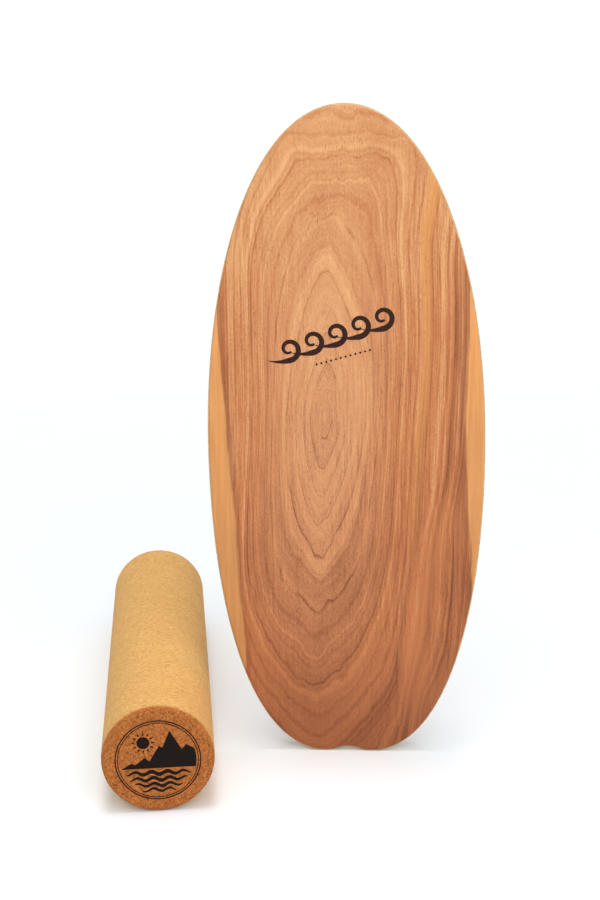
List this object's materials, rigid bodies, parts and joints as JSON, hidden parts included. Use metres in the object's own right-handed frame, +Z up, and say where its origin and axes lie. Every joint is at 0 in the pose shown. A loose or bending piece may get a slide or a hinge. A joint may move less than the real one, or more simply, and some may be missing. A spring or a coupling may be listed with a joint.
{
  "type": "roller balance board",
  "caption": "Egg-shaped plywood deck with a notched tail and two sliding end stops under it, standing beside its solid cork roller.",
  "frame": {"origin": "middle of the floor area that the standing deck and the lying roller cover, on the floor", "axes": "+Z up, from the deck's tail to its nose; -Y the way the deck's top face looks; +X across the deck, away from the roller"},
  "size_m": [0.4804, 0.5206, 0.726],
  "materials": {
    "face_veneer": "satin lacquered red-brown veneer",
    "cross_ply": "sanded end grain",
    "long_ply": "sanded",
    "stop_beech": "oiled",
    "bumper_rubber": "matt",
    "insert_brass": "machined",
    "fastener_steel": "bright zinc plated",
    "cork": "turned and sanded agglomerated cork"
  },
  "bodies": {
    "deck": {"top_veneer": "face_veneer", "upper_cross_ply": "cross_ply", "upper_long_ply": "long_ply", "core_ply": "cross_ply", "lower_long_ply": "long_ply", "lower_cross_ply": "cross_ply", "bottom_veneer": "face_veneer", "nose_left_insert": "insert_brass", "nose_left_washer": "fastener_steel", "nose_left_screw": "fastener_steel", "nose_right_insert": "insert_brass", "nose_right_washer": "fastener_steel", "nose_right_screw": "fastener_steel", "tail_left_insert": "insert_brass", "tail_left_washer": "fastener_steel", "tail_left_screw": "fastener_steel", "tail_right_insert": "insert_brass", "tail_right_washer": "fastener_steel", "tail_right_screw": "fastener_steel"},
    "nose_stop": {"nose_stop_bar": "stop_beech", "nose_stop_bumper": "bumper_rubber"},
    "tail_stop": {"tail_stop_bar": "stop_beech", "tail_stop_bumper": "bumper_rubber"},
    "roller": {"cork_roller": "cork"}
  },
  "joints": [
    {"name": "roller_roll", "type": "hinge", "parent": "deck", "child": "roller", "pos_m": [-0.14395, 0, 0.06], "axis": [-0.1478, 0.989, 0], "continuous": true},
    {"name": "nose_stop_slide", "type": "slide", "parent": "deck", "child": "nose_stop", "axis": [0, 0, 1], "range_m": [-0.014, 0.014]},
    {"name": "tail_stop_slide", "type": "slide", "parent": "deck", "child": "tail_stop", "axis": [0, 0, 1], "range_m": [-0.014, 0.014]}
  ]
}
